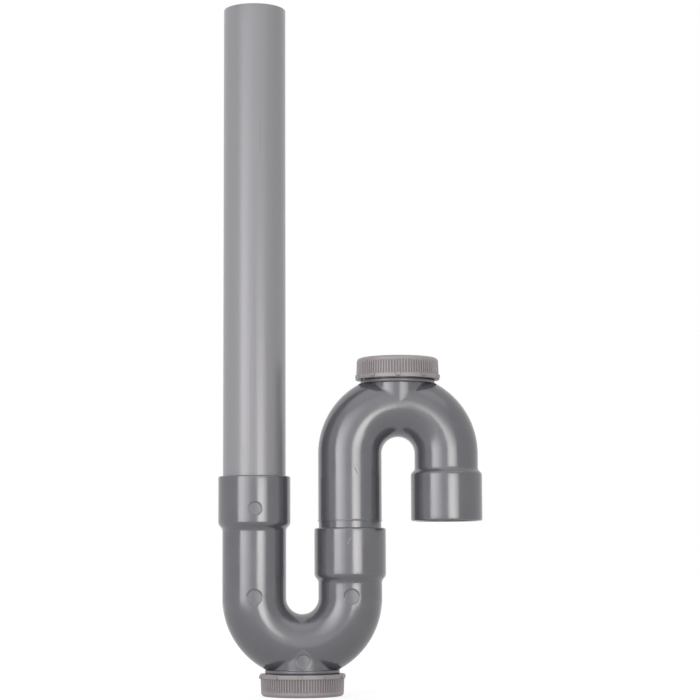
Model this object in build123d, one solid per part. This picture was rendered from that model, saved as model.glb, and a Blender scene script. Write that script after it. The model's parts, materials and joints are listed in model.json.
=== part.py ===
from build123d import *
from math import atan2, cos, radians, sin, tan
import os

os.makedirs("parts", exist_ok=True)

# A grey PVC swan-neck trap for 40 mm waste pipe. A standpipe is cemented into a U bend, and an
# inverted U bend carries the water over to the outlet. Each bend has a screw cap for cleaning.
# The origin is the middle of the lower cap's flat end, and the lower bend is straight above it.
# +Z runs up the standpipe and +X towards the outlet. All sizes are in millimetres.

# Standpipe, which is cut from plain 40 mm waste pipe
pipe_od = 40.0
pipe_wall = 1.8
pipe_length = 332.0
pipe_edge_break = 0.4

# Legs of the two moulded bends, a little thicker than the pipe
leg_step = 0.3
leg_wall = 2.3
lower_pitch = 61.0
upper_pitch = 61.8
inlet_leg = 42.0
joint_leg = 9.1
swan_leg = 43.3
outlet_leg = 9.1

# Sockets, which all take the pipe's diameter and stop it on a ledge
socket_clearance = 0.1
socket_depth = 28.0
socket_ledge = 1.0
socket_lead_in = 0.6
mouth_round = 1.0
inlet_socket_wall = 2.9
joint_socket_wall = 2.7
outlet_socket_wall = 2.7
lower_shoulder = 6.0
outlet_shoulder = 5.0

# Spigot of the upper bend, pushed into the lower bend's second socket and not quite home
spigot_showing = 4.0
spigot_chamfer = 0.8
leg_lip = 0.35
leg_lip_length = 1.2

# Cleaning neck on the middle of each bend, a hair thinner than the legs
neck_inset = 0.05
neck_wall = 2.4
ring_proud = 3.45
ring_thickness = 2.4
lower_ring_sink = 3.4
upper_ring_sink = 4.2
thread_core_proud = 1.95
thread_depth = 1.0
thread_clearance = 0.3
thread_wall = 3.0
neck_height = 10.2

# Screw cap and the flat seal in its closed end
seal_thickness = 2.0
seal_clearance = 0.3
seal_overhang = 0.6
seat_gap = 0.3
cap_end_wall = 2.0
cap_wall = 3.0
cap_draft = 0.35
rib_count = 92
rib_depth = 0.4
rib_crest_share = 0.45
rib_flank_share = 0.15
band_proud = 0.5
band_height = 2.7
lug_count = 10
lug_width = 2.6
lug_proud = 1.1
crown_height = 2.6
crown_round = 2.2

# Round marks of the mould's ejector pins, on the front of the lower bend
mark_depth = 0.2
socket_mark_d = 8.8
leg_mark_d = 10.0
neck_mark_d = 8.8
socket_mark_below_mouth = 21.1
leg_mark_above_bend = 1.2
neck_mark_from_ring = 9.2

# Radii that follow from the sizes above
pipe_r = pipe_od / 2
leg_r = pipe_r + leg_step
bore_r = leg_r - leg_wall
socket_r = pipe_r + socket_clearance
neck_r = leg_r - neck_inset
neck_bore_r = neck_r - neck_wall
thread_core_r = neck_r + thread_core_proud
neck_mouth_r = thread_core_r - thread_wall
cap_bore_r = thread_core_r + thread_depth + thread_clearance
cap_r = cap_bore_r + cap_wall
band_r = cap_r + band_proud
lug_r = band_r + lug_proud

# Heights that follow. A reach is a distance from a bend's centre along its cleaning neck.
cap_height = neck_height - seat_gap + seal_thickness + cap_end_wall
lower_ring_reach = lower_pitch / 2 + leg_r - lower_ring_sink
upper_ring_reach = upper_pitch / 2 + leg_r - upper_ring_sink
lower_z = lower_ring_reach + seat_gap + cap_height
joint_mouth_z = lower_z + joint_leg + lower_shoulder + socket_ledge + socket_depth
inlet_mouth_z = lower_z + inlet_leg + lower_shoulder + socket_ledge + socket_depth
upper_x = (lower_pitch + upper_pitch) / 2
upper_z = joint_mouth_z + spigot_showing + swan_leg

# How far a shape runs past the face that it cuts through or is joined to
past_end = 1.0


def turned(points, radii):
    """Solid of revolution about Z from a closed outline of (radius, height) points and corner radii."""
    outline = Plane.XZ * FilletPolyline(*points, radius=radii, close=True)
    return revolve(make_face(outline), axis=Axis.Z)


def half_ring(pitch, radius):
    """Half of a torus below the XY plane, joining two legs that stand pitch apart along X."""
    return revolve(Pos(pitch / 2, 0, 0) * Circle(radius), axis=Axis.Y, revolution_arc=180)


def socket_leg(leg_length, shoulder_length, socket_wall):
    """Outside and inside of a straight leg that widens into a socket, standing on the XY plane.

    The shoulder is a slope half its length long, with an arc at each end that blends into the leg
    and the socket. The pipe's end rests on a ledge where the bore narrows from socket to leg.
    """
    outer_r = socket_r + socket_wall
    barrel_z = leg_length + shoulder_length
    ledge_z = barrel_z + socket_ledge
    mouth_z = ledge_z + socket_depth
    blend = shoulder_length / 4
    blend_r = blend / tan(atan2(outer_r - leg_r, shoulder_length - 2 * blend) / 2)
    outside = turned(
        [
            (0, 0),
            (leg_r, 0),
            (leg_r, leg_length + blend),
            (outer_r, barrel_z - blend),
            (outer_r, mouth_z),
            (0, mouth_z),
        ],
        [0, 0, blend_r, blend_r, mouth_round, 0],
    )
    inside = turned(
        [
            (0, 0),
            (bore_r, 0),
            (bore_r, ledge_z),
            (socket_r, ledge_z),
            (socket_r, mouth_z - socket_lead_in),
            (socket_r + socket_lead_in, mouth_z),
            (socket_r + socket_lead_in, mouth_z + past_end),
            (0, mouth_z + past_end),
        ],
        [0] * 8,
    )
    return outside, inside


def spigot_leg(leg_length):
    """Outside and inside of a straight leg that steps down to a spigot of the pipe's diameter."""
    end_z = leg_length + socket_depth
    outside = turned(
        [
            (0, 0),
            (leg_r, 0),
            (leg_r, leg_length - leg_lip_length),
            (leg_r + leg_lip, leg_length),
            (pipe_r, leg_length),
            (pipe_r, end_z - spigot_chamfer),
            (pipe_r - spigot_chamfer, end_z),
            (0, end_z),
        ],
        [0] * 8,
    )
    inside = extrude(Circle(bore_r), amount=end_z + past_end)
    return outside, inside


def bend(pitch, ring_reach, left, right):
    """U bend with its legs along +Z and its cleaning neck along -Z, hollow right through.

    The neck is a tube as wide as the bend itself, so its wall meets the bend in a shallow V on
    each side. A ring stops the cap's skirt, and the neck goes on past it to carry the thread.
    """
    rim_reach = ring_reach + neck_height
    neck_length = rim_reach - pitch / 2
    neck_root = Pos(0, 0, -pitch / 2)
    outside = half_ring(pitch, leg_r)
    outside += Pos(-pitch / 2, 0, 0) * left[0]
    outside += Pos(pitch / 2, 0, 0) * right[0]
    outside += neck_root * extrude(Circle(neck_r), amount=-neck_length)
    outside += Pos(0, 0, -ring_reach) * extrude(Circle(neck_r + ring_proud), amount=ring_thickness)
    outside += Pos(0, 0, -rim_reach) * extrude(Circle(thread_core_r), amount=neck_height)
    inside = half_ring(pitch, bore_r)
    inside += Pos(-pitch / 2, 0, 0) * left[1]
    inside += Pos(pitch / 2, 0, 0) * right[1]
    inside += neck_root * extrude(Circle(neck_bore_r), amount=-neck_length - past_end)
    inside += Pos(0, 0, -ring_reach) * extrude(Circle(neck_mouth_r), amount=-neck_height - past_end)
    return outside - inside


def pin_mark(surface_r, diameter):
    """Thin round slice of a tube's front, cut away where an ejector pin left its mark."""
    pin = Plane.XZ * extrude(Circle(diameter / 2), amount=surface_r + past_end)
    core = extrude(Circle(surface_r - mark_depth), amount=diameter, both=True)
    return pin - core


def ribbed(height, low_r, high_r):
    """Drafted grip of the cap: a crest and a valley for each rib, lofted from low_r to high_r."""
    step = radians(360) / rib_count
    crest_end = rib_flank_share + rib_crest_share
    corners = [
        (0, 0),
        (rib_flank_share, rib_depth),
        (crest_end, rib_depth),
        (crest_end + rib_flank_share, 0),
    ]

    def outline(crest_r):
        polar = [
            (crest_r - rib_depth + rise, step * (rib + turn))
            for rib in range(rib_count)
            for turn, rise in corners
        ]
        return make_face(Polyline(*[(r * cos(a), r * sin(a)) for r, a in polar], close=True))

    return loft([outline(low_r), Pos(0, 0, height) * outline(high_r)], ruled=True)


def screw_cap():
    """Cap with its open end on the XY plane: banded and lugged skirt, ribbed side, rounded crown."""
    side_height = cap_height - band_height - crown_height
    crown_r = cap_r - cap_draft
    lug_length = lug_proud + past_end
    lug = Pos(lug_r - lug_length / 2, 0) * Rectangle(lug_length, lug_width)
    plan = Circle(band_r) + [loc * lug for loc in PolarLocations(0, lug_count, start_angle=-90)]
    crown = turned(
        [(0, 0), (crown_r, 0), (crown_r, crown_height), (0, crown_height)],
        [0, 0, crown_round, 0],
    )
    side = Pos(0, 0, band_height) * ribbed(side_height, cap_r, crown_r)
    shell = side + [
        extrude(plan, amount=band_height),
        Pos(0, 0, band_height + side_height) * crown,
    ]
    return shell - extrude(Circle(cap_bore_r), amount=cap_height - cap_end_wall)


def flat_seal():
    """Flat rubber ring, lying on the XY plane, that the cap presses onto the neck's rim."""
    face = Circle(cap_bore_r - seal_clearance) - Circle(neck_mouth_r - seal_overhang)
    return extrude(face, amount=seal_thickness)


# Standpipe, resting on the inlet socket's ledge
pipe_rod = extrude(Circle(pipe_r), amount=pipe_length)
pipe_rod = chamfer(pipe_rod.edges(), pipe_edge_break)
pipe_shell = pipe_rod - extrude(Circle(pipe_r - pipe_wall), amount=pipe_length)
standpipe = Pos(-lower_pitch / 2, 0, inlet_mouth_z - socket_depth) * pipe_shell

# Lower bend, with the inlet socket on the left and the joint socket on the right
inlet = socket_leg(inlet_leg, lower_shoulder, inlet_socket_wall)
joint = socket_leg(joint_leg, lower_shoulder, joint_socket_wall)
socket_mark_z = inlet_mouth_z - lower_z - socket_mark_below_mouth
marks = [
    Pos(-lower_pitch / 2, 0, socket_mark_z) * pin_mark(socket_r + inlet_socket_wall, socket_mark_d),
    Pos(-lower_pitch / 2, 0, leg_mark_above_bend) * pin_mark(leg_r, leg_mark_d),
    Pos(lower_pitch / 2, 0, leg_mark_above_bend) * pin_mark(leg_r, leg_mark_d),
    Pos(0, 0, neck_mark_from_ring - lower_ring_reach) * pin_mark(neck_r, neck_mark_d),
]
lower_bend = Pos(0, 0, lower_z) * (bend(lower_pitch, lower_ring_reach, inlet, joint) - marks)

# Upper bend, turned end over end, with its spigot on the left and the outlet on the right
swan = spigot_leg(swan_leg)
outlet = socket_leg(outlet_leg, outlet_shoulder, outlet_socket_wall)
upper_place = Pos(upper_x, 0, upper_z) * Rot(180, 0, 0)
upper_bend = upper_place * bend(upper_pitch, upper_ring_reach, swan, outlet)

# Caps and seals, alike at both bends. The lower pair is turned end over end.
cap = screw_cap()
seal = flat_seal()
lower_cap = Pos(0, 0, cap_height) * Rot(180, 0, 0) * cap
lower_cap_seal = Pos(0, 0, cap_end_wall) * seal
upper_cap = Pos(upper_x, 0, upper_z + upper_ring_reach + seat_gap) * cap
upper_cap_seal = Pos(upper_x, 0, upper_z + upper_ring_reach + neck_height) * seal

nodes = {
    "standpipe": standpipe,
    "lower_bend": lower_bend,
    "lower_cap_seal": lower_cap_seal,
    "lower_cap": lower_cap,
    "upper_bend": upper_bend,
    "upper_cap_seal": upper_cap_seal,
    "upper_cap": upper_cap,
}
for name, solid in nodes.items():
    export_step(solid, f"parts/{name}.step")
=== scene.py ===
import json
from math import cos, pi, radians, sin, tan

import bmesh
import bpy
import numpy as np
from mathutils import Matrix


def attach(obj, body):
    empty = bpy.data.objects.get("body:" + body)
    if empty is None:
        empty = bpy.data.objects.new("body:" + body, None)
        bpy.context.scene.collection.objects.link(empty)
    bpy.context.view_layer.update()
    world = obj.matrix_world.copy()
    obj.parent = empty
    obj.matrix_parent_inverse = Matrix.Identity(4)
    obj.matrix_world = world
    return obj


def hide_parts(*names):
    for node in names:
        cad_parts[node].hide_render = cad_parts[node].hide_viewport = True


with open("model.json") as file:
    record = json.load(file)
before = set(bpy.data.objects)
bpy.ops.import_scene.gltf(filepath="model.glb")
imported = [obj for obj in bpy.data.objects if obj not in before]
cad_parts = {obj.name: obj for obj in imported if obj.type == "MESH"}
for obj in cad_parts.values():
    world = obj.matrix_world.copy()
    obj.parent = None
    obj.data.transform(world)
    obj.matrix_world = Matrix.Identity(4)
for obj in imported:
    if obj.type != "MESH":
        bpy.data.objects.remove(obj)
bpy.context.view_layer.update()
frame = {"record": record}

# The camera of the photograph: a short telephoto lens 1.3 m in front of the trap and a little to
# its left, at the height of the lower bend and looking slightly up.
lens_mm = 106.96
camera_at = (-0.01087, -1.33, 0.07758)
heading, rise, lean = radians(-1.8), radians(6.0998), radians(-0.2368)

camera_data = bpy.data.cameras.new("camera")
camera_data.lens = lens_mm
camera_data.sensor_width = 36
camera_data.clip_end = 50
camera = bpy.data.objects.new("camera", camera_data)
camera.matrix_world = (
    Matrix.Translation(camera_at)
    @ Matrix.Rotation(heading, 4, "Z")
    @ Matrix.Rotation(pi / 2 + rise, 4, "X")
    @ Matrix.Rotation(lean, 4, "Z")
)
bpy.context.collection.objects.link(camera)
bpy.context.scene.camera = camera
bpy.context.scene.view_settings.view_transform = "Standard"

# The studio: two soft boxes in front, whose reflections are the pale strips down every pipe, a fill
# in front, a box overhead, and two fills behind that no gloss mirrors. The surround is white, and
# the floor is white paper that keeps the trap's shadow.
aim_at = np.array((0.03, 0.0, 0.17))
soft_box_distance = 0.8


def add(tree, kind, **settings):
    """New shader node. A setting named after an input sets or links it, and others are its own."""
    made = tree.nodes.new(kind)
    for name, value in settings.items():
        title = name.replace("_", " ")
        spot = int(name[2:]) if name.startswith("in") and name[2:].isdigit() else None
        if spot is None and hasattr(made, name):
            setattr(made, name, value)
            continue
        socket = made.inputs[title if spot is None else spot]
        if isinstance(value, bpy.types.NodeSocket):
            tree.links.new(value, socket)
        else:
            socket.default_value = value
    return made


def maths(tree, operation, *values):
    """Output of a Math node that works on the values, each a number or another node's output."""
    made = tree.nodes.new("ShaderNodeMath")
    made.operation = operation
    for socket, value in zip(made.inputs, values):
        if isinstance(value, bpy.types.NodeSocket):
            tree.links.new(value, socket)
        else:
            socket.default_value = value
    return made.outputs[0]


def ramp(tree, value, low, high, out_low=0.0, out_high=1.0):
    """The value's way from low to high, smoothed, as a number from out_low to out_high."""
    made = add(tree, "ShaderNodeMapRange", interpolation_type="SMOOTHSTEP", Value=value)
    ends = {"From Min": low, "From Max": high, "To Min": out_low, "To Max": out_high}
    for title, number in ends.items():
        made.inputs[title].default_value = number
    return made.outputs[0]


def soft_box(name, turn, tilt, hot, fade, radiance, colour, mirrored=True):
    """Rectangular lamp that faces the aim and, seen from there, fills two ranges of degrees.

    turn runs from left to right of straight in front, and tilt from the horizon up. The cloth is
    brightest at hot. Where it is t degrees of turn and u of tilt away from there, it has
    exp(-(t / fade[0])^2 - (u / fade[1])^2) of that radiance. A lamp that isn't mirrored lights the
    trap without showing in its gloss.
    """
    mid_turn, mid_tilt = radians(sum(turn) / 2), radians(sum(tilt) / 2)
    spans = [b - a for a, b in (turn, tilt)]
    width, height = (2 * soft_box_distance * tan(radians(span) / 2) for span in spans)
    away = (sin(mid_turn) * cos(mid_tilt), -cos(mid_turn) * cos(mid_tilt), sin(mid_tilt))
    data = bpy.data.lights.new(name, "AREA")
    data.shape = "RECTANGLE"
    data.size, data.size_y = width, height
    data.energy, data.color = radiance * pi * width * height, colour
    data.use_nodes = True
    tree = data.node_tree
    cloth = tree.nodes.new("ShaderNodeTexCoord").outputs["UV"]
    spot = [(at - ends[0]) / span for at, ends, span in zip(hot, (turn, tilt), spans)]
    off = add(tree, "ShaderNodeVectorMath", operation="SUBTRACT", in0=cloth, in1=(*spot, 0))
    fades = (*(span / reach for span, reach in zip(spans, fade)), 0)
    off = add(tree, "ShaderNodeVectorMath", operation="MULTIPLY", in0=off.outputs[0], in1=fades)
    off = add(tree, "ShaderNodeVectorMath", operation="LENGTH", in0=off.outputs[0])
    squared = maths(tree, "POWER", off.outputs["Value"], 2.0)
    left = maths(tree, "EXPONENT", maths(tree, "MULTIPLY", squared, -1.0))
    tree.links.new(left, tree.nodes["Emission"].inputs["Strength"])
    lamp = bpy.data.objects.new(name, data)
    lamp.matrix_world = (
        Matrix.Translation(aim_at + np.array(away) * soft_box_distance)
        @ Matrix.Rotation(mid_turn, 4, "Z")
        @ Matrix.Rotation(pi / 2 - mid_tilt, 4, "X")
    )
    lamp.visible_camera = False
    lamp.visible_glossy = mirrored
    bpy.context.collection.objects.link(lamp)


# Each lamp's ranges of turn and tilt, its brightest spot, its fades, radiance and colour.
cool, warm = (1.0, 0.97, 1.0), (1.0, 0.96, 0.93)
soft_box("left soft box", (-54, -14), (-12, 36), (-48, 2), (24, 24), 4.15, cool)
soft_box("right soft box", (6, 38), (-12, 18), (18, -4), (19, 13), 5.6, warm)
soft_box("front fill", (-45, 40), (-12, 48), (-8, 15), (45, 50), 0.8, cool)
soft_box("overhead soft box", (-45, 45), (50, 84), (5, 65), (60, 60), 0.7, cool)
for side in (-1, 1):
    ends = sorted((side * 100, side * 170))
    soft_box("back fill", ends, (0, 60), (side * 135, 30), (90, 90), 1.3, cool, mirrored=False)


def sees_background(tree):
    """One for camera, mirror and see-through rays, nought for the rays that carry light."""
    rays = add(tree, "ShaderNodeLightPath").outputs
    mirror = maths(tree, "MAXIMUM", rays["Is Camera Ray"], rays["Is Glossy Ray"])
    return maths(tree, "MAXIMUM", mirror, rays["Is Transmission Ray"])


surround_light = 0.12
world = bpy.data.worlds.new("white surround")
world.use_nodes = True
world.node_tree.nodes.clear()
seen = add(world.node_tree, "ShaderNodeBackground", Color=(1, 1, 1, 1), Strength=1.0)
cast = add(world.node_tree, "ShaderNodeBackground", Color=(1, 1, 1, 1), Strength=surround_light)
both = add(world.node_tree, "ShaderNodeMixShader", Fac=sees_background(world.node_tree))
world.node_tree.links.new(cast.outputs[0], both.inputs[1])
world.node_tree.links.new(seen.outputs[0], both.inputs[2])
world_out = add(world.node_tree, "ShaderNodeOutputWorld")
world.node_tree.links.new(both.outputs[0], world_out.inputs["Surface"])
bpy.context.scene.world = world

# The paper glows a little less near the trap, where the lamps add the rest of the white.
paper_grey = (0.35, 0.35, 0.35, 1)
glow_reach, glow_levels = (0.15, 1.0), (0.76, 1.0)
paper = bpy.data.materials.new("white paper")
paper.use_nodes = True
paper.node_tree.nodes.clear()
spot = add(paper.node_tree, "ShaderNodeTexCoord").outputs["Object"]
from_trap = add(paper.node_tree, "ShaderNodeVectorMath", operation="LENGTH", in0=spot)
strength = ramp(paper.node_tree, from_trap.outputs["Value"], *glow_reach, *glow_levels)
matt = add(paper.node_tree, "ShaderNodeBsdfDiffuse", Color=paper_grey)
glow = add(paper.node_tree, "ShaderNodeEmission", Color=(1, 1, 1, 1), Strength=strength)
lit = add(paper.node_tree, "ShaderNodeAddShader", in0=matt.outputs[0], in1=glow.outputs[0])
shown = add(paper.node_tree, "ShaderNodeMixShader", Fac=sees_background(paper.node_tree))
paper.node_tree.links.new(matt.outputs[0], shown.inputs[1])
paper.node_tree.links.new(lit.outputs[0], shown.inputs[2])
paper_out = add(paper.node_tree, "ShaderNodeOutputMaterial")
paper.node_tree.links.new(shown.outputs[0], paper_out.inputs["Surface"])

floor_half = 15.0
floor_drop = -0.0002
corners = [(x, y, floor_drop) for x, y in ((-1, -1), (1, -1), (1, 1), (-1, 1))]
floor_mesh = bpy.data.meshes.new("floor")
spots = [(x * floor_half, y * floor_half, z) for x, y, z in corners]
floor_mesh.from_pydata(spots, [], [(0, 1, 2, 3)])
floor_mesh.materials.append(paper)
floor = bpy.data.objects.new("floor", floor_mesh)
bpy.context.collection.objects.link(floor)

# The standpipe: a plain length of extruded grey PVC waste pipe, sawn square at both ends and
# cemented into the inlet socket. Its skin has a fine sheen along its length, with a few scuffs.
mm = 0.001
weld = 1e-6
crease = radians(38)


def spaced(stops, counts):
    """Numbers that run through all the stops, with counts[i] even steps from stop i to the next."""
    runs = [np.linspace(a, b, n + 1)[1:] for a, b, n in zip(stops, stops[1:], counts)]
    return np.concatenate([[float(stops[0])], *runs])


def rounded(path, radii, steps=5):
    """Path of (radius, height) points with its inner corners rounded, as an array of points.

    Where a path turns by t, the arc of radius r starts r * tan(t / 2) before the corner and ends
    as far after it. A point of the arc is the centre plus r times the direction that swings
    evenly from one end to the other.
    """
    path = np.array(path, float)
    pieces = [path[:1]]
    for before, corner, after, radius in zip(path, path[1:], path[2:], radii[1:]):
        back = (before - corner) / np.linalg.norm(before - corner)
        ahead = (after - corner) / np.linalg.norm(after - corner)
        turn = pi - np.arccos(np.clip(back @ ahead, -1, 1))
        if radius == 0 or turn < 1e-4:
            pieces.append(corner[None])
            continue
        middle = (back + ahead) / np.linalg.norm(back + ahead)
        centre = corner + middle * radius / cos(turn / 2)
        start = corner + back * radius * tan(turn / 2) - centre
        end = corner + ahead * radius * tan(turn / 2) - centre
        part = np.linspace(0, turn, steps + 1)[:, None]
        pieces.append(centre + (start * np.sin(turn - part) + end * np.sin(part)) / sin(turn))
    pieces.append(path[-1:])
    return np.concatenate(pieces)


def stepped(path, length):
    """The path with more points, so that no step along it is longer than the length."""
    steps = np.maximum(1, np.ceil(np.linalg.norm(np.diff(path, axis=0), axis=1) / length - 1e-6))
    stations = spaced(np.arange(len(path)), steps.astype(int))
    knots = np.arange(len(path))
    return np.stack([np.interp(stations, knots, column) for column in path.T], axis=1)


def full_circle(columns):
    """Angles of evenly spaced columns all the way round."""
    return np.linspace(0, 2 * pi, columns + 1)[:-1]


def turned(path, angles):
    """Surface of revolution: point (r, z) of the path at angle a lies at (r cos a, r sin a, z)."""
    r, z = path[:, :1], path[:, 1:]
    return np.stack([r * np.cos(angles), r * np.sin(angles), z + 0 * angles], axis=-1)


def moulded(name, grids, material, body, node, masks=None):
    """Object made of grids of points in millimetres, welded where they meet.

    A grid is (points, ring): rows x columns x 3 numbers, and whether its last column joins its
    first. Each four neighbours make a face. The object rides on the body and stands for the node.
    masks holds named numbers, one for each point of the grids, that the material can read.
    """
    spots, faces, start = [], [], 0
    for points, ring in grids:
        rows, columns = points.shape[:2]
        index = start + np.arange(rows * columns).reshape(rows, columns)
        if ring:
            index = np.concatenate([index, index[:, :1]], axis=1)
        quads = [index[:-1, :-1], index[:-1, 1:], index[1:, 1:], index[1:, :-1]]
        faces.append(np.stack(quads, axis=-1).reshape(-1, 4))
        spots.append(points.reshape(-1, 3))
        start += rows * columns
    spots, faces = np.concatenate(spots) * mm, np.concatenate(faces)
    mesh = bpy.data.meshes.new(name)
    mesh.vertices.add(len(spots))
    mesh.vertices.foreach_set("co", spots.ravel())
    mesh.loops.add(faces.size)
    mesh.loops.foreach_set("vertex_index", faces.ravel())
    mesh.polygons.add(len(faces))
    mesh.polygons.foreach_set("loop_start", np.arange(0, faces.size, 4))
    mesh.update(calc_edges=True)
    for title, mask in (masks or {}).items():
        layer = mesh.attributes.new(title, "FLOAT", "POINT")
        layer.data.foreach_set("value", mask)
    work = bmesh.new()
    work.from_mesh(mesh)
    bmesh.ops.remove_doubles(work, verts=work.verts, dist=weld)
    bmesh.ops.dissolve_degenerate(work, edges=work.edges, dist=weld)
    bmesh.ops.recalc_face_normals(work, faces=work.faces)
    work.to_mesh(mesh)
    work.free()
    mesh.polygons.foreach_set("use_smooth", np.ones(len(mesh.polygons), bool))
    mesh.set_sharp_from_angle(angle=crease)
    mesh.materials.append(material)
    piece = bpy.data.objects.new(name, mesh)
    bpy.context.collection.objects.link(piece)
    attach(piece, body)
    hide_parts(node)
    return piece


def group(name, inputs, outputs):
    """Node group of inputs (name, kind, value) and outputs (name, kind), and its two end nodes."""
    tree = bpy.data.node_groups.new(name, "ShaderNodeTree")
    for title, kind, value in inputs:
        socket = tree.interface.new_socket(title, in_out="INPUT", socket_type=kind)
        socket.default_value = value
    for title, kind in outputs:
        tree.interface.new_socket(title, in_out="OUTPUT", socket_type=kind)
    return tree, tree.nodes.new("NodeGroupInput"), tree.nodes.new("NodeGroupOutput")


def mixed(tree, share, first, second):
    """Colour that lies the given share of the way from the first to the second."""
    return add(tree, "ShaderNodeMix", data_type="RGBA", in0=share, in6=first, in7=second).outputs[2]


def noise(tree, place, scale, detail=2.0, roughness=0.5):
    """Noise of 0 to 1 with the given number of waves per metre."""
    made = add(
        tree, "ShaderNodeTexNoise", Vector=place, Scale=scale, Detail=detail, Roughness=roughness
    )
    return made.outputs[0]


NUMBER, VECTOR = "NodeSocketFloat", "NodeSocketVector"

# Scuff: a straight scratch on the front of a pipe, at a place and a turn as seen from there. Its
# mask falls to nought at half its length and half its width, is only on the near side, and is
# broken up by noise with break_scale waves per metre.
fade_along, fade_across = (0.5, 0.15), (0.5, 0.1)
front_only = (0.0, -0.004)
break_scale, break_range = 900.0, (0.35, 0.55)
scuff, scuff_in, scuff_out = group(
    "scuff",
    [
        ("Place", VECTOR, (0, 0, 0)),
        ("Turn", NUMBER, 0),
        ("Length", NUMBER, 0.01),
        ("Width", NUMBER, 0.0005),
    ],
    [("Mask", NUMBER)],
)
where = scuff.nodes.new("ShaderNodeTexCoord").outputs["Object"]
offset = add(scuff, "ShaderNodeVectorMath", operation="SUBTRACT", in0=where)
scuff.links.new(scuff_in.outputs["Place"], offset.inputs[1])
swung = add(scuff, "ShaderNodeVectorRotate", rotation_type="Y_AXIS", Vector=offset.outputs[0])
scuff.links.new(scuff_in.outputs["Turn"], swung.inputs["Angle"])
parts = add(scuff, "ShaderNodeSeparateXYZ", Vector=swung.outputs[0])
aside, up = (maths(scuff, "ABSOLUTE", parts.outputs[axis]) for axis in "XZ")
along = maths(scuff, "DIVIDE", aside, scuff_in.outputs["Length"])
across = maths(scuff, "DIVIDE", up, scuff_in.outputs["Width"])
line = maths(scuff, "MULTIPLY", ramp(scuff, along, *fade_along), ramp(scuff, across, *fade_across))
depth = add(scuff, "ShaderNodeSeparateXYZ", Vector=where).outputs["Y"]
line = maths(scuff, "MULTIPLY", line, ramp(scuff, depth, *front_only))
broken = ramp(scuff, noise(scuff, where, break_scale, 3.0), *break_range)
scuff.links.new(maths(scuff, "MULTIPLY", line, broken), scuff_out.inputs["Mask"])

# Skin: what every plastic and rubber here shares. Grain is a fine height, Waviness a slow height
# that makes reflections wander, and Tone a slow change of shade. A Stretch below 1 draws all three
# out along the height, as on an extruded pipe.
tone_scale = 45.0
skin, skin_in, skin_out = group(
    "plastic skin",
    [("Grain size", NUMBER, 0.0004), ("Wave size", NUMBER, 0.006), ("Stretch", NUMBER, 1.0)],
    [("Grain", NUMBER), ("Waviness", NUMBER), ("Tone", NUMBER)],
)
where = skin.nodes.new("ShaderNodeTexCoord").outputs["Object"]
stretch = add(skin, "ShaderNodeCombineXYZ", X=1.0, Y=1.0)
skin.links.new(skin_in.outputs["Stretch"], stretch.inputs["Z"])
drawn = add(skin, "ShaderNodeVectorMath", operation="MULTIPLY", in0=where, in1=stretch.outputs[0])
for title, size, detail in (("Grain", "Grain size", 3.0), ("Waviness", "Wave size", 1.0)):
    waves = add(skin, "ShaderNodeTexNoise", Vector=drawn.outputs[0], Detail=detail)
    skin.links.new(maths(skin, "DIVIDE", 1.0, skin_in.outputs[size]), waves.inputs["Scale"])
    skin.links.new(waves.outputs[0], skin_out.inputs[title])
skin.links.new(noise(skin, drawn.outputs[0], tone_scale, 4.0, 0.6), skin_out.inputs["Tone"])


def scuffs(tree, marks):
    """Highest of the scuffs' masks. A mark is ((x, z), degrees, length, width) in millimetres."""
    total = 0.0
    for (x, z), degrees, length, width in marks:
        made = tree.nodes.new("ShaderNodeGroup")
        made.node_tree = scuff
        made.inputs["Place"].default_value = (x * mm, 0, z * mm)
        made.inputs["Turn"].default_value = radians(degrees)
        made.inputs["Length"].default_value = length * mm
        made.inputs["Width"].default_value = width * mm
        total = maths(tree, "MAXIMUM", made.outputs[0], total)
    return total


# How much scuffs, dull skin and painted shade change a plastic. The dent is in millimetres.
wear_pale, wear_rough, wear_dent = 0.55, 0.25, 0.06
scratch_white = 0.1
tone_spread, rough_spread = 0.2, 0.03
dull_rough = 0.2
# Painted shade: a near-black mixed into the colour where shade falls in hollows, up to this share.
grime_colour, grime_cover = (0.02, 0.018, 0.018, 1), 0.45


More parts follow.
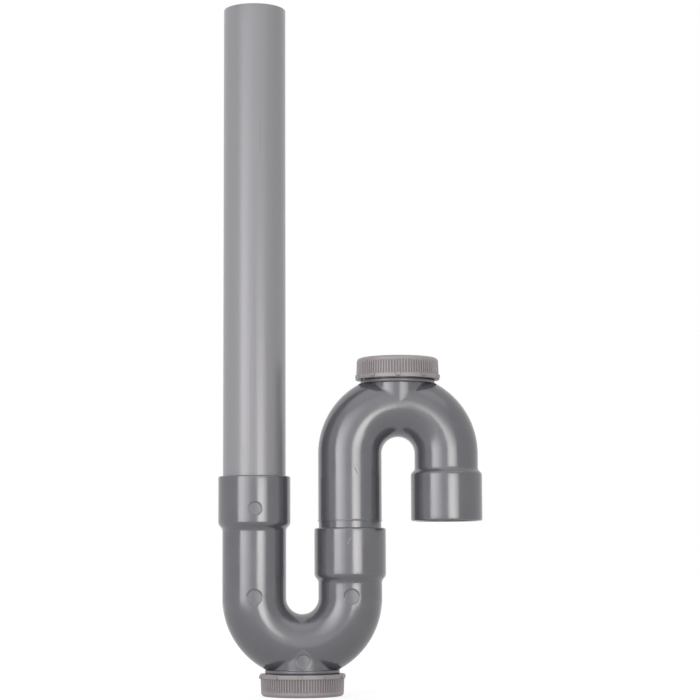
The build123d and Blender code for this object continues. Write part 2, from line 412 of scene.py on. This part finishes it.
def plastic(
    name, shades, roughness, grain, waves, marks=(), stretch=1.0, gloss=0.5, dull="", grime=""
):
    """Plastic that runs between two shades, with grain, waves and scuffs.

    grain and waves are (size, height) in millimetres. Scuffs are paler and rougher than the rest,
    and sunk a little. dull and grime name attributes: where one is 1, the skin is rougher
    with twice the grain, or has painted shade that takes away almost half of its colour.
    """
    material = bpy.data.materials.new(name)
    material.use_nodes = True
    tree = material.node_tree
    shader = tree.nodes["Principled BSDF"]
    shader.inputs["IOR"].default_value = 1.5
    shader.inputs["Specular IOR Level"].default_value = gloss
    surface = tree.nodes.new("ShaderNodeGroup")
    surface.node_tree = skin
    surface.inputs["Grain size"].default_value = grain[0] * mm
    surface.inputs["Wave size"].default_value = waves[0] * mm
    surface.inputs["Stretch"].default_value = stretch
    tone, worn = surface.outputs["Tone"], scuffs(tree, marks)
    share = ramp(tree, tone, 0.5 - tone_spread, 0.5 + tone_spread)
    colour = mixed(tree, share, (*shades[0], 1), (*shades[1], 1))
    scratched = (*(scratch_white + (1 - scratch_white) * np.array(shades[1])), 1)
    colour = mixed(tree, maths(tree, "MULTIPLY", worn, wear_pale), colour, scratched)
    rough = ramp(tree, tone, 0.3, 0.7, roughness - rough_spread, roughness + rough_spread)
    rough = maths(tree, "ADD", rough, maths(tree, "MULTIPLY", worn, wear_rough))
    height = maths(tree, "MULTIPLY", surface.outputs["Grain"], grain[1] * mm)
    # Painted shade: where the named mask is 1, the colour darkens towards near-black, standing in
    # for shade in hollows.
    if grime:
        mask = add(tree, "ShaderNodeAttribute", attribute_name=grime).outputs["Fac"]
        colour = mixed(tree, maths(tree, "MULTIPLY", mask, grime_cover), colour, grime_colour)
    if dull:
        mask = add(tree, "ShaderNodeAttribute", attribute_name=dull).outputs["Fac"]
        rough = maths(tree, "ADD", rough, maths(tree, "MULTIPLY", mask, dull_rough))
        height = maths(tree, "MULTIPLY", height, maths(tree, "ADD", mask, 1.0))
    slow = maths(tree, "MULTIPLY", surface.outputs["Waviness"], waves[1] * mm)
    dent = maths(tree, "MULTIPLY", worn, -wear_dent * mm)
    height = maths(tree, "ADD", maths(tree, "ADD", height, slow), dent)
    bump = add(tree, "ShaderNodeBump", Strength=1.0, Distance=1.0, Height=height)
    tree.links.new(colour, shader.inputs["Base Color"])
    tree.links.new(rough, shader.inputs["Roughness"])
    tree.links.new(bump.outputs[0], shader.inputs["Normal"])
    return material


pipe_pvc = plastic(
    "extruded grey pvc",
    shades=((0.254, 0.256, 0.269), (0.280, 0.282, 0.295)),
    roughness=0.30,
    grain=(0.35, 0.002),
    waves=(1.2, 0.004),
    marks=[((-36.9, 152.1), -58, 12.0, 0.6)],
    stretch=0.03,
    gloss=0.85,
)

pipe_axis = -30.5
pipe_foot, pipe_top = 110.6, 442.6
pipe_r, pipe_bore_r = 20.0, 18.2
pipe_edge, pipe_row, pipe_columns = 0.4, 12.0, 192
pipe_middle = (pipe_foot + pipe_top) / 2
pipe_path = rounded(
    [
        (pipe_bore_r, pipe_middle),
        (pipe_bore_r, pipe_foot),
        (pipe_r, pipe_foot),
        (pipe_r, pipe_top),
        (pipe_bore_r, pipe_top),
        (pipe_bore_r, pipe_middle),
    ],
    [0, pipe_edge, pipe_edge, pipe_edge, pipe_edge, 0],
)
pipe_points = turned(stepped(pipe_path, pipe_row), full_circle(pipe_columns)) + (pipe_axis, 0, 0)
moulded("standpipe_pipe", [(pipe_points, True)], pipe_pvc, "trap_body", "standpipe")

# The two bends: each is one moulding of glossier, darker grey PVC. Two legs run into a U, and a
# cleaning neck with a stop ring and a thread leaves its middle. The lower bend has a socket on
# both legs, and the upper bend, turned over, has a spigot and the outlet socket.
leg_r, leg_bore_r = 20.3, 18.0
neck_r, neck_bore_r = 20.25, 17.85
ring_r, ring_round = 23.7, 0.9
thread_core_r, neck_mouth_r = 22.2, 19.2
thread_tip_r = 23.1
ring_thickness, neck_height = 2.4, 10.2
socket_r, socket_depth, socket_ledge, socket_lead_in = 20.1, 28.0, 1.0, 0.6
thread_lead = frame["record"]["behaviour"]["couplings"][0]["ratio"] * 2 * pi / mm
corner_blend, blend_from, blend_full = 0.7, 0.5, 7.0
mark_edge, mark_depth = 0.5, 0.35
ring_corner, rim_round = 0.3, 0.4
hair = 0.1  # a distance too small to see, which tells neighbouring surfaces apart


def smooth(value, low, high):
    """Nought below low, one above high, and 3t^2 - 2t^3 of the way t between them."""
    t = np.clip((value - low) / (high - low), 0, 1)
    return t * t * (3 - 2 * t)


def tube_gap(points, bend_r, tube_r):
    """Distance of points outside the ring-shaped tube round the Y axis, negative inside it."""
    x, y, z = np.moveaxis(points, -1, 0)
    return np.hypot(np.hypot(x, z) - bend_r, y) - tube_r


def softened(points, bend_r):
    """Points of the bend and neck moved out so that a small hollow fills the corner between them.

    With a and b the distances outside the tube and the neck, the filled surface is where
    min(a, b) - max(k - |a - b|, 0)^2 / (4 k) is nought, and k fades out towards the bend's middle.
    Points that already stand outside it, such as those of the ring, stay where they are.
    """
    points = points.copy()
    buried = None
    for _ in range(4):
        x, y, z = np.moveaxis(points, -1, 0)
        out, radius = np.hypot(x, z), np.hypot(x, y)
        a = np.hypot(out - bend_r, y) - leg_r
        b = radius - neck_r
        k = corner_blend * smooth(-z, bend_r + blend_from, bend_r + blend_full) + 1e-6
        share = np.clip(0.5 + 0.5 * (b - a) / k, 0, 1)
        fill = b + (a - b) * share - k * share * (1 - share)
        side = (out - bend_r) / (a + leg_r)
        slope_a = np.stack([side * x / out, y / (a + leg_r), side * z / out], axis=-1)
        slope_b = np.stack([x / radius, y / radius, 0 * z], axis=-1)
        slope = slope_b + (slope_a - slope_b) * share[..., None]
        if buried is None:
            buried = (fill < -1e-7) & (np.abs(a - b) < k)
        move = np.where(buried, -fill, 0)
        points += move[..., None] * slope / (slope**2).sum(-1, keepdims=True)
    return points


def exit_station(path, bend_r, tube_r, angles):
    """How far along a turned path each angle's line comes out of the tube, found by halving."""
    stations = np.arange(len(path), dtype=float)
    low, high = np.zeros(len(angles)), np.full(len(angles), len(path) - 1.0)
    for _ in range(45):
        middle = (low + high) / 2
        r, z = (np.interp(middle, stations, column) for column in path.T)
        spot = np.stack([r * np.cos(angles), r * np.sin(angles), z], axis=-1)
        inside = tube_gap(spot, bend_r, tube_r) < 0
        low, high = np.where(inside, middle, low), np.where(inside, high, middle)
    return high


def lines_from(path, start, angles, turns_at, rows):
    """Turned surface whose lines start where they leave the tube, and go on to the path's end.

    Each line has its first rows between its start and the path's point turns_at, closer at the
    start, and then one row for each later point of the path. A line that starts later waits.
    """
    first = np.maximum(start, turns_at)
    lead = start + (first - start) * (np.linspace(0, 1, rows + 1)[:, None] ** 1.3)
    rest = np.maximum(np.arange(turns_at + 1, len(path))[:, None], start)
    at = np.concatenate([lead, rest])
    stations = np.arange(len(path))
    r, z = (np.interp(at, stations, column) for column in path.T)
    return np.stack([r * np.cos(angles), r * np.sin(angles), z], axis=-1)


# Columns are close over front_turn of a leg and beyond front_neck of the neck, at the pin marks.
front_turn, front_neck = radians(21), radians(74)
leg_columns, neck_columns = 34, 46


def leg_column_angles(edge, bend_r, fine):
    """Angle round the tube of each line that runs along it, first those that end at the neck."""
    x, y, z = np.moveaxis(edge, -1, 0)
    at_neck = np.arctan2(y, np.hypot(x, z) - bend_r)
    last = at_neck[-1]
    turns = [last, last + front_turn, 2 * pi - last - front_turn, 2 * pi - last]
    rest = spaced(turns, [fine, leg_columns, fine])
    return np.concatenate([at_neck, rest[1:-1]])


def arc_rows(tube_angles, edge, bend_r, tube_r, share, side):
    """Lines round the bend. At a share s of its way, a line has made that share of its turn."""
    whole = np.full(len(tube_angles), pi / 2)
    whole[: len(edge)] = np.arctan2(-edge[:, 2], np.abs(edge[:, 0]))
    out = bend_r + tube_r * np.cos(tube_angles)
    turn = share[:, None] * whole
    y = np.broadcast_to(tube_r * np.sin(tube_angles), turn.shape)
    return np.stack([side * out * np.cos(turn), y, -out * np.sin(turn)], axis=-1)


def leg_rows(path, tube_angles, bend_r, side):
    """A leg turned about its own axis, which stands bend_r to one side of the neck's."""
    r = path[:, :1]
    x = side * (bend_r + r * np.cos(tube_angles))
    return np.stack([x, r * np.sin(tube_angles), np.broadcast_to(path[:, 1:], x.shape)], axis=-1)


def thread_rise(angle, z, low, high, shift):
    """How far a single right-hand thread stands out, as a share of its depth.

    It repeats each time z minus lead * angle / (2 pi) grows by one lead. Its flat top is a fifth
    of the lead wide, and its flanks run down over a tenth each. It runs out over a millimetre at
    low and at high.
    """
    phase = (z / thread_lead - angle / (2 * pi) + shift) % 1.0
    away = np.abs(phase - 0.5)
    ends = smooth(z, low, low + 1.0) * (1 - smooth(z, high - 1.0, high))
    return (1 - smooth(away, 0.1, 0.2)) * ends


neck_rows, neck_bore_rows, bend_bore_rows = 52, 10, 25
thread_row, thread_end = 0.2, 0.3


def bend_grids(bend_r, ring_foot, legs, marks, fine, arc_share, thread_shift):
    """The grids of a whole bend, legs up and neck down, and how dull each point is.

    Each half runs from the neck's edge back round the bend, up the leg's outside, over its
    mouth, and down inside to the neck's bore. The neck closes both halves, outside and inside.
    A mark is (x, z, diameter) of a dull pin mark sunk into the front. The stop ring is dull too.
    """
    ring_top, rim = ring_foot - ring_thickness, ring_foot + neck_height
    quarter = spaced([-pi / 2, -front_neck, front_neck, pi / 2], [fine, neck_columns, fine])
    outer_path = rounded(
        [
            (neck_r, -bend_r),
            (neck_r, -ring_top),
            (ring_r, -ring_top),
            (ring_r, -ring_foot),
            (thread_core_r, -ring_foot),
        ],
        [0, ring_corner, ring_round, ring_round, 0],
    )
    thread_path = rounded(
        [
            (thread_core_r, -ring_foot),
            (thread_core_r, -rim),
            (neck_mouth_r, -rim),
            (neck_mouth_r, -ring_foot),
            (neck_bore_r, -ring_foot),
        ],
        [0, rim_round, rim_round, 0, 0],
    )
    thread_path = stepped(thread_path, thread_row)
    inner_path = np.array([(neck_bore_r, -bend_r), (neck_bore_r, -ring_foot)])
    outer_start = exit_station(outer_path, bend_r, leg_r, quarter)
    inner_start = exit_station(inner_path, bend_r, leg_bore_r, quarter)
    outer_neck = lines_from(outer_path, outer_start, quarter, 1, neck_rows)
    inner_neck = lines_from(inner_path, inner_start, quarter, 1, neck_bore_rows)
    outer_angles = leg_column_angles(outer_neck[0], bend_r, fine)
    inner_angles = leg_column_angles(inner_neck[0], bend_r, fine)
    bore_share = np.linspace(0, 1, bend_bore_rows)
    thread_ends = (-rim + thread_end, -ring_foot - thread_end)
    grids, masks = [], []
    for side, leg in zip((-1, 1), legs):
        mouth = np.argmax(leg[:, 1])
        inward = np.concatenate([np.zeros(mouth), np.linspace(0, 1, len(leg) - mouth)])[:, None]
        angles = outer_angles + inward * (inner_angles - outer_angles)
        outside = arc_rows(outer_angles, outer_neck[0], bend_r, leg_r, arc_share[::-1], side)
        inside = arc_rows(inner_angles, inner_neck[0], bend_r, leg_bore_r, bore_share, side)
        outer_side, inner_side = outer_neck * (side, 1, 1), inner_neck * (side, 1, 1)
        round_neck = np.arctan2(outer_side[-1, :, 1], outer_side[-1, :, 0])
        r, z = thread_path[:, :1], thread_path[:, 1:]
        rise = thread_rise(round_neck, z, *thread_ends, thread_shift)
        r = r + (thread_tip_r - thread_core_r) * rise * (r > thread_core_r - hair / 2)
        spiral = np.stack([r * np.cos(round_neck), r * np.sin(round_neck), z + 0 * r], axis=-1)
        half = [softened(outside, bend_r), leg_rows(leg[1:-1], angles[1:-1], bend_r, side), inside]
        neck = [softened(outer_side, bend_r), spiral[1:-1], inner_side[::-1]]
        for rows, ring, front_rows in (
            (half, True, len(outside) + mouth),
            (neck, False, len(outer_side)),
        ):
            points = np.concatenate(rows)
            mask = np.zeros(points.shape[:2])
            for x, z, across in marks:
                away = np.hypot(points[..., 0] - x, points[..., 2] - z)
                mask += smooth(across / 2 - away, 0, mark_edge) * (points[..., 1] < 0)
            mask[front_rows:] = 0
            points[..., 1] += mark_depth * mask
            out = np.hypot(points[..., 0], points[..., 1])
            from_ring = np.abs(points[..., 2] + (ring_foot + ring_top) / 2)
            at_ring = from_ring < ring_thickness / 2 + hair
            mask += smooth(out, thread_tip_r + hair, ring_r - 2 * hair) * at_ring
            grids.append((points, ring))
            masks.append(mask.ravel())
    return grids, np.concatenate(masks)


leg_row, close_row = 3.0, 0.3


def leg_path(corners, radii, close_runs=()):
    """Path of a leg, up its outside and down its inside, with close rows on stretches of it."""
    path = rounded(corners, radii)
    middle = (path[1:, 1] + path[:-1, 1]) / 2
    length = np.full(len(middle), leg_row)
    for low, high in close_runs:
        outside = np.arange(len(middle)) < np.argmax(path[:, 1])
        length[(middle > low) & (middle < high) & outside] = close_row
    return stepped(path, length)


lead_in_round = 0.2


def socket_leg(leg, shoulder, wall, mouth_round, close_runs=()):
    """Path of a leg that widens into a socket by an S-shaped shoulder, with a ledge inside.

    The shoulder's middle half is a straight slope, and the arc at each end of it is the one that
    touches both the slope and the leg or the socket, a quarter of the shoulder's length away.
    """
    outer_r = socket_r + wall
    barrel, ledge = leg + shoulder, leg + shoulder + socket_ledge
    mouth = ledge + socket_depth
    blend = shoulder / 4
    slope = np.arctan2(outer_r - leg_r, shoulder - 2 * blend)
    blend_r = blend / tan(slope / 2)
    stops = sorted(stop for run in close_runs for stop in run if stop > 0)
    on_leg = [(leg_r, stop) for stop in stops if stop < leg]
    on_barrel = [(outer_r, stop) for stop in stops if stop > barrel]
    corners = [
        (leg_r, 0),
        *on_leg,
        (leg_r, leg + blend),
        (outer_r, barrel - blend),
        *on_barrel,
        (outer_r, mouth),
        (socket_r + socket_lead_in, mouth),
        (socket_r, mouth - socket_lead_in),
        (socket_r, ledge),
        (leg_bore_r, ledge),
        (leg_bore_r, 0),
    ]
    radii = [0] * len(corners)
    at_slope = 1 + len(on_leg)
    at_mouth = at_slope + 2 + len(on_barrel)
    radii[at_slope] = radii[at_slope + 1] = blend_r
    radii[at_mouth], radii[at_mouth + 1] = mouth_round, lead_in_round
    return leg_path(corners, radii, close_runs)


fitting_scuffs = [
    ((33.6, 142.0), -62, 9.0, 0.9),
    ((34.6, 144.6), -60, 5.0, 0.4),
    ((29.2, 97.3), 62, 7.0, 1.1),
]
fitting_pvc = plastic(
    "moulded grey pvc",
    shades=((0.094, 0.098, 0.111), (0.107, 0.111, 0.125)),
    roughness=0.17,
    grain=(1.2, 0.010),
    waves=(6.0, 0.028),
    marks=fitting_scuffs,
    gloss=1.0,
    dull="dull",
)

lower_z, upper_x, upper_z = 61.6, 61.4, 153.0
lower_bend_r, upper_bend_r = 30.5, 30.9
lower_ring_foot, upper_ring_foot = 47.4, 47.0
seat_gap = 0.3
socket_mark_z, leg_mark_z, neck_mark_z = 56.0, 0.7, -39.2
# The marks of ejector pins on the lower bend, each (x, z, diameter).
lower_marks = [
    (-lower_bend_r + 0.9, socket_mark_z, 8.8),
    (-lower_bend_r + 0.4, leg_mark_z, 10.0),
    (lower_bend_r + 0.4, leg_mark_z, 10.0),
    (0.5, neck_mark_z, 8.8),
]
leg_mark_run, socket_mark_run = (0, 6.6), (51.0, 60.8)
inlet_leg = socket_leg(
    leg=42.0, shoulder=6.0, wall=2.9, mouth_round=1.0, close_runs=[leg_mark_run, socket_mark_run]
)
joint_leg = socket_leg(leg=9.1, shoulder=6.0, wall=2.7, mouth_round=1.4, close_runs=[leg_mark_run])
lower_share = spaced([0, 0.09, 0.9, 1], [12, 40, 14])
lower_grids, lower_mask = bend_grids(
    lower_bend_r,
    lower_ring_foot,
    legs=(inlet_leg, joint_leg),
    marks=lower_marks,
    fine=20,
    arc_share=lower_share,
    thread_shift=(lower_ring_foot + seat_gap) / thread_lead,
)
lower_grids = [(points + (0, 0, lower_z), ring) for points, ring in lower_grids]
moulded(
    "lower_bend_moulding",
    lower_grids,
    fitting_pvc,
    body="trap_body",
    node="lower_bend",
    masks={"dull": lower_mask},
)

swan_length = 43.3
lip_length, lip_proud, spigot_chamfer = 1.2, 0.35, 0.8
spigot_end = swan_length + socket_depth
spigot_corners = [
    (leg_r, 0),
    (leg_r, swan_length - lip_length),
    (leg_r + lip_proud, swan_length),
    (pipe_r, swan_length),
    (pipe_r, spigot_end - spigot_chamfer),
    (pipe_r - spigot_chamfer, spigot_end),
    (leg_bore_r, spigot_end),
    (leg_bore_r, 0),
]
swan_leg = leg_path(spigot_corners, [0, 1.5, 0.15, 0, 0.3, 0.3, 0.2, 0])
outlet_leg = socket_leg(leg=9.1, shoulder=5.0, wall=2.7, mouth_round=1.0)
upper_share = spaced([0, 0.9, 1], [44, 14])
upper_grids, upper_mask = bend_grids(
    upper_bend_r,
    upper_ring_foot,
    legs=(swan_leg, outlet_leg),
    marks=[],
    fine=12,
    arc_share=upper_share,
    thread_shift=(upper_ring_foot + seat_gap) / thread_lead,
)
upper_grids = [(points * (1, -1, -1) + (upper_x, 0, upper_z), ring) for points, ring in upper_grids]
moulded(
    "upper_bend_moulding",
    upper_grids,
    fitting_pvc,
    body="trap_body",
    node="upper_bend",
    masks={"dull": upper_mask},
)

# The flat seals: rings of black rubber that lie in the caps' closed ends and are pressed onto
# the rims of the necks. Each moves in and out with its cap but doesn't turn with it.
seal_rubber = plastic(
    "black rubber",
    shades=((0.012, 0.012, 0.012), (0.02, 0.02, 0.02)),
    roughness=0.6,
    grain=(0.3, 0.006),
    waves=(3.0, 0.01),
)
seal_hole_r, seal_r, seal_thickness, seal_edge = 18.6, 23.2, 2.0, 0.3
lower_seal_foot, upper_seal_foot = 2.0, 210.2
seal_columns = 144
seal_path = rounded(
    [
        (seal_hole_r, seal_thickness / 2),
        (seal_hole_r, 0),
        (seal_r, 0),
        (seal_r, seal_thickness),
        (seal_hole_r, seal_thickness),
        (seal_hole_r, seal_thickness / 2),
    ],
    [0, seal_edge, seal_edge, seal_edge, seal_edge, 0],
    steps=3,
)
seal_points = turned(seal_path, full_circle(seal_columns))
for body, x, z in (("lower_seal", 0, lower_seal_foot), ("upper_seal", upper_x, upper_seal_foot)):
    ring_points = seal_points + (x, 0, z)
    name = body.replace("_seal", "_cap_seal")
    moulded(name + "_ring", [(ring_points, True)], seal_rubber, body, name)

# The screw caps: matt grey mouldings with ribs for grip, a smooth band with ten small lugs
# round the open end, and a thread inside that runs in the neck's groove.
cap_height, cap_end_wall = 13.9, 2.0
upper_cap_foot = 200.3
cap_bore_r, cap_thread_tip_r = 23.5, 22.6
crown_r, skirt_r, band_r, lug_proud = 26.15, 26.5, 27.0, 1.1
crown_foot, band_top = 11.3, 2.7
rib_count, rib_depth = 92, 0.6
rib_flank, rib_crest, valley_line = 0.15, 0.35, 0.88
lug_count, lug_width, lug_edge = 10, 2.6, 0.16
panel_r, panel_depth = 20.0, 0.3
rib_fade, lug_rise = (-0.6, 0.3), (0.3, 0.9)
bore_foot, bore_top = 0.5, cap_height - cap_end_wall - 0.6
cap_thread_foot, cap_thread_top, cap_thread_shift = 0.8, cap_height - cap_end_wall - 1.6, 0.5
cap_row, bore_rows = 0.9, 50

cap_path = rounded(
    [
        (0, cap_height - panel_depth),
        (panel_r - panel_depth, cap_height - panel_depth),
        (panel_r, cap_height),
        (crown_r, cap_height),
        (crown_r, crown_foot),
        (skirt_r, band_top),
        (band_r, band_top),
        (band_r, 0),
        (cap_bore_r, 0),
        (cap_bore_r, cap_height - cap_end_wall),
        (0, cap_height - cap_end_wall),
    ],
    [0, 0.2, 0.2, 2.2, 0, 0.15, 0.4, 0.35, 0.4, 0.5, 0],
)
rib_turn, lug_turn = 2 * pi / rib_count, 2 * pi / lug_count
rib_width = 2 * rib_flank + rib_crest
rib_middle = rib_flank + rib_crest / 2
rib_stops = np.array([0, rib_flank, rib_middle, rib_flank + rib_crest, rib_width, valley_line])
lug_half, lug_slope = lug_width / 2 / band_r, lug_edge / band_r
lug_stops = np.array([-lug_half - lug_slope, -lug_half, lug_half, lug_half + lug_slope])


def cap_grid(front_lug):
    """The cap's grid, open end down, and where it gets painted shade. front_lug is its first lug's
    angle.

    The radius is the path's, less the depth of the ribs' valleys on the side, plus the lugs'
    height on the band, and less the thread's height in the bore. Painted shade darkens the ribs'
    valleys and the lugs' feet, where shade falls.
    """
    rib_lines = (np.arange(rib_count)[:, None] + rib_stops).ravel() * rib_turn
    lug_lines = (np.arange(lug_count)[:, None] * lug_turn + lug_stops).ravel() % (2 * pi)
    angle = np.unique(np.round(np.concatenate([rib_lines, lug_lines]), 5))
    share = angle / rib_turn % 1.0
    rib = np.clip(np.minimum(share, rib_width - share) / rib_flank, 0, 1)
    from_lug = np.abs((angle + lug_turn / 2) % lug_turn - lug_turn / 2)
    lug = np.clip((lug_half * band_r + lug_edge - from_lug * band_r) / lug_edge, 0, 1)
    path = stepped(cap_path, cap_row)
    bore_run = np.linspace(bore_foot, bore_top, bore_rows)[1:-1]
    at_bore = (np.abs(path[:, 0] - cap_bore_r) < 1e-6) & (path[:, 1] > bore_foot)
    first = np.argmax(at_bore)
    bore = np.stack([0 * bore_run + cap_bore_r, bore_run], axis=1)
    path = np.concatenate([path[:first], bore, path[first + at_bore.sum() :]])
    r, z = path[:, :1], path[:, 1:]
    turn = angle + front_lug
    band_foot = np.argmin(np.abs(z[:, 0]) + 1e3 * (r[:, 0] < band_r - 1))
    outside = np.arange(len(path))[:, None] < band_foot
    below_crown = 1 - smooth(z - crown_foot, *rib_fade)
    on_side = outside * (r > crown_r - hair / 5) * below_crown * (z > band_top + hair / 2)
    on_band = outside * (r > band_r - 3 * hair) * smooth(z, *lug_rise) * (z < band_top)
    in_bore = (np.abs(r - cap_bore_r) < 1e-6) & ~outside
    ridge = thread_rise(turn, z, cap_thread_foot, cap_thread_top, cap_thread_shift) * in_bore
    r = r - rib_depth * (1 - rib) * on_side + lug_proud * lug * on_band
    r = r - (cap_bore_r - cap_thread_tip_r) * ridge
    lug_foot = np.clip(1 - np.abs(from_lug - lug_half - lug_slope) / 1e-3, 0, 1)
    # Painted shade: a darker colour in the ribs' valleys and at the lugs' feet, where shade falls.
    grime = (1 - rib) * on_side + lug_foot * on_band
    return np.stack([r * np.cos(turn), r * np.sin(turn), z + 0 * r], axis=-1), grime.ravel()


# The caps' colour has painted shade in the ribs' valleys and at the lugs' feet.
cap_plastic = plastic(
    "moulded matt grey plastic",
    shades=((0.317, 0.289, 0.294), (0.355, 0.325, 0.330)),
    roughness=0.46,
    grain=(0.4, 0.006),
    waves=(2.5, 0.006),
    gloss=0.8,
    grime="grime",
)
for body, front_lug, flip, place in (
    ("lower_cap", 93.1, (1, -1, -1), (0, 0, cap_height)),
    ("upper_cap", -92.2, (1, 1, 1), (upper_x, 0, upper_cap_foot)),
):
    points, grime = cap_grid(radians(front_lug))
    points = points * flip + place
    moulded(
        body + "_moulding",
        [(points, True)],
        cap_plastic,
        body=body,
        node=body,
        masks={"grime": grime},
    )
